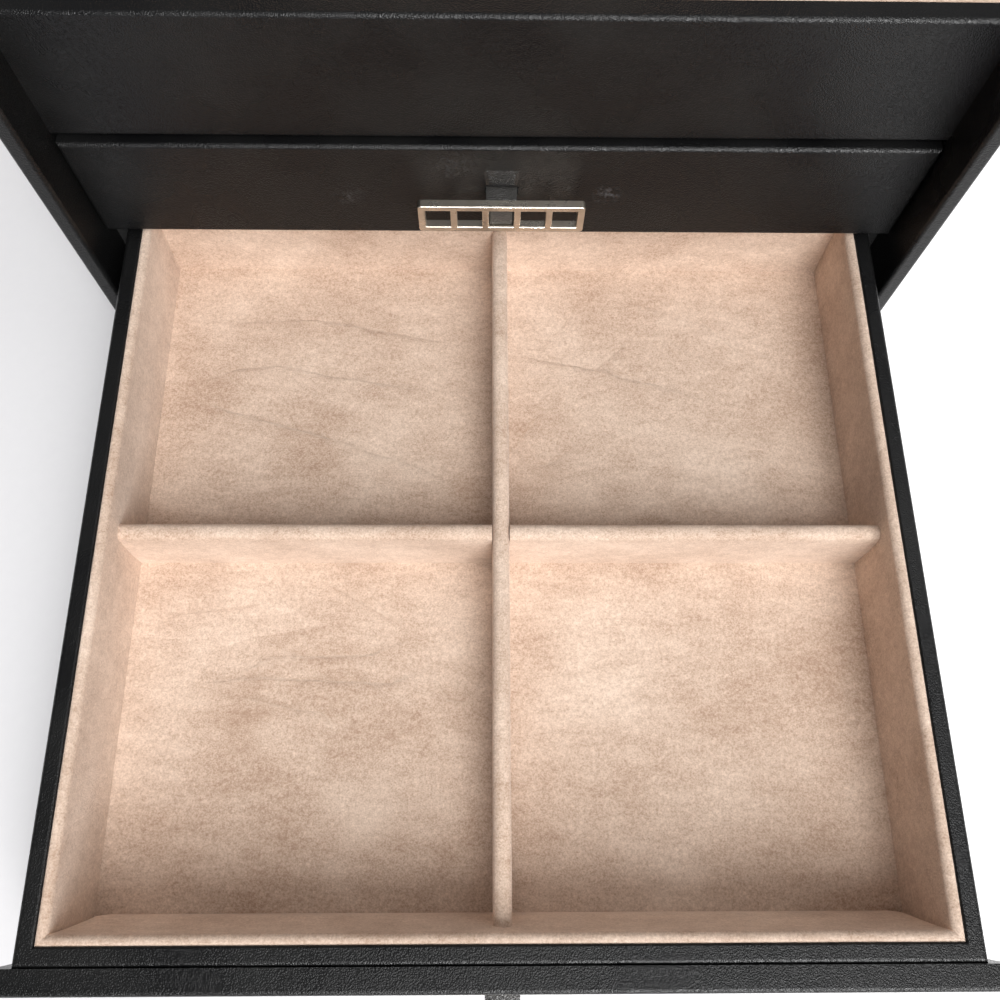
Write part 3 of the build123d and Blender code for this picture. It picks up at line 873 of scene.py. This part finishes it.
# ---- pulls
@dataclass
class Pull:
    """A drawer's pull: the plated plate on its folded leather tab, and the swell of the front above the tab."""

    drawer: str
    tongue_mm: float = 2.4
    leather_mm: float = 1.6
    window_mm: float = 7.5
    rail_mm: float = 2.0
    play_mm: float = 0.2
    bend_mm: float = 1.0
    waver_mm: Pair = (0.03, 3.0)
    edge_drop_mm: float = 0.25
    padding_mm: float = 0.35
    cover_round_mm: float = 0.5
    furrow_mm: Pair = (0.05, 0.2)
    furrow_waver: Pair = (3.0, 2.5)
    swell_spacing_mm: Pair = (0.25, 0.5)
    swell_root_mm: float = 0.6
    swell_width_mm: float = 11.0
    swell_height_mm: float = 7.0
    swell_rise_mm: float = 0.85
    swell_gap_mm: float = 0.6

    def build(self) -> None:
        """Dress the plate and make the tab and the swell."""
        dress(f"{self.drawer}_pull_plate", NICKEL)
        self.tab()
        self.swell()

    def tab(self) -> None:
        """Tab of folded leather: round root, tongue, fold behind the plate and padded cover in its middle window."""
        node = f"{self.drawer}_pull_strap"
        low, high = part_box(node)
        plate_low, plate_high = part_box(f"{self.drawer}_pull_plate")
        back = plate_high.y
        behind = back + self.leather_mm * MM
        under = high.z - self.tongue_mm * MM
        side = (self.window_mm / 2 - self.play_mm) * MM
        middle = plate_low.z + (self.rail_mm + self.window_mm / 2) * MM
        piece = Workpiece(f"{self.drawer}_leather_tab", Vector((low.x, back, low.z)), Vector((high.x, behind, high.z)))
        steps = [side * step / 3 for step in range(-3, 4)]
        piece.slice(0, steps)
        piece.slice(2, [middle + step for step in steps] + [under])
        piece.extrude(
            lambda face: face.normal.y > 0.9 and face.calc_center_median().z > under, (0.0, high.y - behind, 0.0)
        )
        piece.slice(1, [behind + (high.y - behind) * step / 6 for step in range(1, 5)])

        def in_window(place: Vector) -> bool:
            """Whether a place lies inside the middle window as the camera sees it."""
            return abs(place.x) < side + TINY and abs(place.z - middle) < side + TINY

        piece.extrude(
            lambda face: face.normal.y < -0.9 and in_window(face.calc_center_median()),
            (0.0, -self.leather_mm * MM, 0.0),
        )
        front = back - self.leather_mm * MM
        piece.round_edges(
            lambda edge: all(v.co.y < front + TINY for v in edge.verts) and edge.calc_face_angle(0.0) > 1.0,
            self.cover_round_mm * MM, 3,
        )
        piece.round_edges(
            lambda edge: runs_along(edge, 0) and edge.verts[0].co.y > high.y - TINY
            and edge.calc_face_angle(0.0) > 1.0, self.tongue_mm * 0.49 * MM, 6,
        )
        piece.round_edges(
            lambda edge: runs_along(edge, 0) and abs(edge.verts[0].co.y - back) < TINY
            and edge.verts[0].co.z > high.z - TINY, self.bend_mm * MM, 5,
        )

        def shift(place: Vector) -> Vector:
            """Press the tongue's edges down, pad the cover, and let the leather waver a little."""
            moved = Vector((0.0, 0.0, ripple(place, self.waver_mm, 5.0) * MM))
            if place.z > under and place.y > back:
                moved.z -= self.edge_drop_mm * (abs(place.x) / high.x) ** 4 * MM
            if place.y < front + 0.3 * MM:
                reach = max(abs(place.x), abs(place.z - middle)) / side
                moved.y -= self.padding_mm * max(0.0, 1.0 - reach ** 2) * MM
            return moved

        piece.move(shift)
        piece.finish(f"{self.drawer}_pull", "leather", TAB_LEATHER, (node,), angle=50.0)

    def swell(self) -> None:
        """Low bulge in the front's leather over the tab's buried root."""
        strap_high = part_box(f"{self.drawer}_pull_strap")[1]
        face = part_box(f"{self.drawer}_front_panel")[0].y
        half = self.swell_width_mm / 2 * MM
        bottom = strap_high.z + self.swell_gap_mm * MM
        low = Vector((-half, face, bottom))
        high = Vector((half, face + self.swell_root_mm * MM, bottom + self.swell_height_mm * MM))
        piece = Workpiece(f"{self.drawer}_front_swell", low, high)
        piece.divide(0, self.swell_spacing_mm[0] * MM)
        piece.divide(2, self.swell_spacing_mm[1] * MM)

        def shift(place: Vector) -> Vector:
            """Dome the front face, highest just above the tab, fading upwards and clear of the lifted tab below."""
            if place.y > face + 0.1 * MM:
                return Vector()
            up = (place.z - low.z) / (high.z - low.z)
            side = 1.0 - abs(place.x) / (half * (0.84 + 0.16 * up))
            dome = clamp(side * 4.0) * max(0.0, 1.0 - up) ** 0.9 * min(1.0, up * 6.5)
            furrow = math.sin(place.x / (self.furrow_mm[1] * MM) + ripple(place, self.furrow_waver, 2.0))
            grain = self.furrow_mm[0] * furrow * clamp(side * 3.0) * (1.0 - up)
            return Vector((0.0, (0.05 - self.swell_rise_mm * math.sin(dome * math.pi / 2) - grain) * MM, 0.0))

        piece.move(shift)
        piece.finish(f"{self.drawer}_drawer", "leather", SWELL_LEATHER, angle=60.0)


# ---- case and lid
@dataclass
class LidLining:
    """The suede-covered board under the lid: a thin panel with padded rounded edges."""

    node: str = "lid_lining"
    thick_mm: float = 2.5
    opening: float = 95.0
    corner_mm: float = 1.2
    round_mm: float = 1.15
    swell_mm: float = 0.35
    calm_mm: float = 8.0
    spacing_mm: float = 5.0
    waver_mm: Pair = (1.0, 30.0)

    def build(self) -> None:
        """Make the panel as it lies under the closed lid, then lean it back with the open lid."""
        low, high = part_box(self.node)
        middle = (low + high) / 2
        lean = math.radians(self.opening - 90.0)
        tall = (high.z - low.z - self.thick_mm * MM * math.sin(lean)) / math.cos(lean)
        half = Vector(((high.x - low.x) / 2, tall / 2, self.thick_mm / 2 * MM))
        piece = Workpiece("lid_suede_lining", middle - half, middle + half)
        piece.round_edges(lambda edge: runs_along(edge, 2), self.corner_mm * MM, 4)
        piece.round_edges(
            lambda edge: all(v.co.z < middle.z - half.z + TINY for v in edge.verts), self.round_mm * MM, 5
        )
        for axis in (0, 1):
            count = round(2 * half[axis] / (self.spacing_mm * MM))
            piece.slice(axis, [middle[axis] - half[axis] + 2 * half[axis] * step / count for step in range(1, count)])

        def shift(place: Vector) -> Vector:
            """Let the suede face waver softly away from its edges."""
            inset = min(half.x - abs(place.x - middle.x), half.y - abs(place.y - middle.y))
            if place.z > middle.z - half.z + 0.2 * MM:
                return Vector()
            fade = clamp(inset / (self.calm_mm * MM))
            return Vector((0.0, 0.0, fade * self.swell_mm * (0.5 + ripple(place, self.waver_mm, 21.0)) * 0.5 * MM))

        piece.move(shift)
        piece.turn(-self.opening, middle)
        piece.finish("lid", "suede", SUEDE, (self.node,), angle=50.0)


def dress(node: str, finish: Finish) -> None:
    """Give a CAD node a finish.

    Args:
        node: The node's name.
        finish: Its surface finish.
    """
    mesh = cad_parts[node].data
    mesh.materials.clear()
    mesh.materials.append(finish.material())
    log.info("%s: %s", node, finish.name)


@dataclass
class Shell:
    """The leather-covered panels, boards and metal that keep their CAD shapes."""

    leather: tuple[str, ...] = (
        "side_panel_left", "side_panel_right", "back_panel", "base_panel", "fixed_front_panel", "lid_board",
        "lower_front_panel",
    )
    drawer_parts: tuple[str, ...] = ("bottom", "front_wall", "back_wall", "left_wall", "right_wall")
    board: tuple[str, ...] = ("inner_wall_left", "inner_wall_right", "cavity_board", "drawer_shelf", "top_floor")
    brass: tuple[str, ...] = (
        "case_hinge_leaves", "lid_hinge_leaves", "hinge_pins", "case_hinge_screws", "lid_hinge_screws",
    )

    def build(self) -> None:
        """Dress every hard piece."""
        drawer_leather = tuple(f"{drawer}_{part}" for drawer in ("upper", "lower") for part in self.drawer_parts)
        for finish, nodes in (
            (LEATHER, self.leather + drawer_leather), (BOARD, self.board), (BRASS, self.brass),
            (FELT, ("base_felt",)), (SCUFFED_LEATHER, ("upper_front_panel",)),
        ):
            for node in nodes:
                dress(node, finish)


# ---- studio
@dataclass(frozen=True)
class TableTop(Finish):
    """Matt white painted table top, with painted shade making it a little greyer to the left, where the room is
    darker.
    """

    dim: str = "E6E5E7"
    bright: str = "F7F6F7"
    # strengths of the painted glow: towards the right, and far from the box
    lift: float = 0.3
    far_glow: float = 0.8

    def paint(self, tree: Tree, place: Socket, shader: Node) -> None:
        """A pale diffuse top with painted light: an emission lifts it towards white for the camera and for
        reflections, more to the right and far from the box.
        """
        # painted shade: the colour greys from the right towards the left
        share = add_node(tree, "MapRange", (add_node(tree, "SeparateXYZ", (place,)), -0.14, 0.14))
        speckle = add_node(tree, "TexNoise", {"Vector": place} | features(4.0, 4.0, 0.7))
        here = add_node(tree, "Math", (speckle, 0.25, share), operation="MULTIPLY_ADD")
        colour = add_node(tree, "Mix", {0: here, 6: self.dim, 7: self.bright}, data_type="RGBA").outputs[2]
        normal = add_node(tree, "Bump", {"Strength": 0.3, "Distance": 0.2 * MM, "Height": speckle})
        fill(shader, {"Base Color": colour, "Normal": normal, "Roughness": 0.9, "Specular IOR Level": 0.1})
        # painted light: a glow seen only by camera, reflection and transmission rays, stronger to the right and far
        # from the box
        ray = add_node(tree, "LightPath").outputs
        seen = add_node(tree, "Math", (ray["Is Camera Ray"], ray["Is Glossy Ray"]), operation="MAXIMUM")
        seen = add_node(tree, "Math", (seen, ray["Is Transmission Ray"]), operation="MAXIMUM")
        away = add_node(tree, "VectorMath", (place,), operation="LENGTH").outputs["Value"]
        far = add_node(tree, "MapRange", (away, 0.45, 1.4))
        strength = add_node(tree, "MapRange", (share, 0.0, 1.0, 0.0, self.lift))
        strength = add_node(tree, "Math", (far, self.far_glow, strength), operation="MULTIPLY_ADD")
        shown = add_node(tree, "Math", (seen, strength), operation="MULTIPLY")
        glow = add_node(tree, "Emission", {"Color": "FFFFFF", "Strength": shown})
        output = next(node for node in tree.nodes if node.type == "OUTPUT_MATERIAL")
        fill(output, {"Surface": add_node(tree, "AddShader", (shader, glow))})


@dataclass(frozen=True)
class Lamp:
    """A soft rectangular lamp: its place and size in metres, its power in watts, and whether it lights matt faces."""

    name: str
    place: Triple
    size: Pair
    power: float
    lights_matt: bool = True

    def build(self, aim: Triple) -> None:
        """Set the lamp up.

        Args:
            aim: The point that it faces, in metres.
        """
        data = bpy.data.lights.new(self.name, "AREA")
        data.shape, data.energy = "RECTANGLE", self.power
        data.size, data.size_y = self.size
        lamp = bpy.data.objects.new(self.name, data)
        bpy.context.scene.collection.objects.link(lamp)
        lamp.location = self.place
        lamp.rotation_euler = (Vector(aim) - Vector(self.place)).to_track_quat("-Z", "Y").to_euler()
        lamp.visible_diffuse = self.lights_matt


@dataclass
class Studio:
    """Table, sky, camera and lamps: a tall soft one in front, and two that only gloss shows."""

    camera_mm: Triple = (-4.651, -303.627, 305.378)
    camera_turn: Triple = (0.35902, -0.01494, -0.00371)
    lens: float = 34.5285
    table_size: float = 6.0
    lamps: tuple[Lamp, ...] = (
        Lamp("key_lamp", (0.32, -1.35, 1.2), (0.75, 1.6), 38.0),
        Lamp("gloss_lamp", (0.75, -0.45, 1.5), (0.35, 0.5), 8.0, lights_matt=False),
        Lamp("strip_lamp", (0.5, -1.15, 0.55), (1.3, 0.1), 22.0, lights_matt=False),
    )
    aim: Triple = (0.0, -0.2, 0.04)
    sky_low: float = 0.06
    sky_high: float = 0.58
    sky_lean: float = 0.6

    def build(self) -> None:
        """Set the stage."""
        self.table()
        for lamp in self.lamps:
            lamp.build(self.aim)
        self.sky()
        self.camera()

    def table(self) -> None:
        """A pale table top under the box."""
        clear_selection()
        bpy.ops.mesh.primitive_plane_add(size=self.table_size, location=(0.0, 0.0, 0.0))
        top = bpy.context.object
        top.name = "table_top"
        top.data.materials.append(TableTop("white_table").material())

    def sky(self) -> None:
        """A sky that is brighter overhead and to the right, and white to the camera."""
        world = bpy.data.worlds.new("studio_sky")
        bpy.context.scene.world = world
        world.use_nodes = True
        world.node_tree.nodes.clear()
        tree = world.node_tree
        seen = add_node(tree, "LightPath").outputs["Is Camera Ray"]
        way = add_node(tree, "TexCoord").outputs["Generated"]
        part = add_node(tree, "SeparateXYZ", (way,)).outputs
        rise = add_node(tree, "MapRange", (part["Z"], 0.0, 1.0, self.sky_low, self.sky_high))
        lean = add_node(tree, "MapRange", (part["X"], -1.0, 1.0, 1.0 - self.sky_lean, 1.0 + self.sky_lean))
        sky = add_node(tree, "Math", (rise, lean), operation="MULTIPLY")
        back = {"Color": "FFFFFF", "Strength": add_node(tree, "MapRange", (seen, 0.0, 1.0, sky, 1.0))}
        add_node(tree, "OutputWorld", {"Surface": add_node(tree, "Background", back)})
        bpy.context.scene.view_settings.view_transform = "Standard"

    def camera(self) -> None:
        """The camera at the photograph's angle, looking steeply down into the open drawer."""
        data = bpy.data.cameras.new("camera")
        data.lens, data.sensor_width = self.lens, 36.0
        data.clip_start, data.clip_end = 0.01, 50.0
        camera = bpy.data.objects.new("camera", data)
        bpy.context.scene.collection.objects.link(camera)
        camera.location = Vector(self.camera_mm) * MM
        camera.rotation_euler = self.camera_turn
        bpy.context.scene.camera = camera


# ---- the whole box
def main() -> None:
    """Build every sub-assembly."""
    logging.basicConfig(level=logging.INFO, format="%(name)s: %(message)s")
    Studio().build()
    Shell().build()
    unseen = tuple(Crease(tuple((-x, -y) for x, y in crease.points), crease.strength) for crease in DRAWER_CREASES)
    SuedeTray("lower_", "lower_drawer", 1.3, DRAWER_CREASES, "lower_cross_divider").build()
    SuedeTray("upper_", "upper_drawer", 6.1, unseen, "upper_cross_divider").build()
    SuedeTray("top_", "case", 11.9, unseen, "top_cross_dividers", cross_count=2).build()
    LidLining().build()
    for drawer in ("upper", "lower"):
        Pull(drawer).build()


if __name__ == "__main__":
    main()
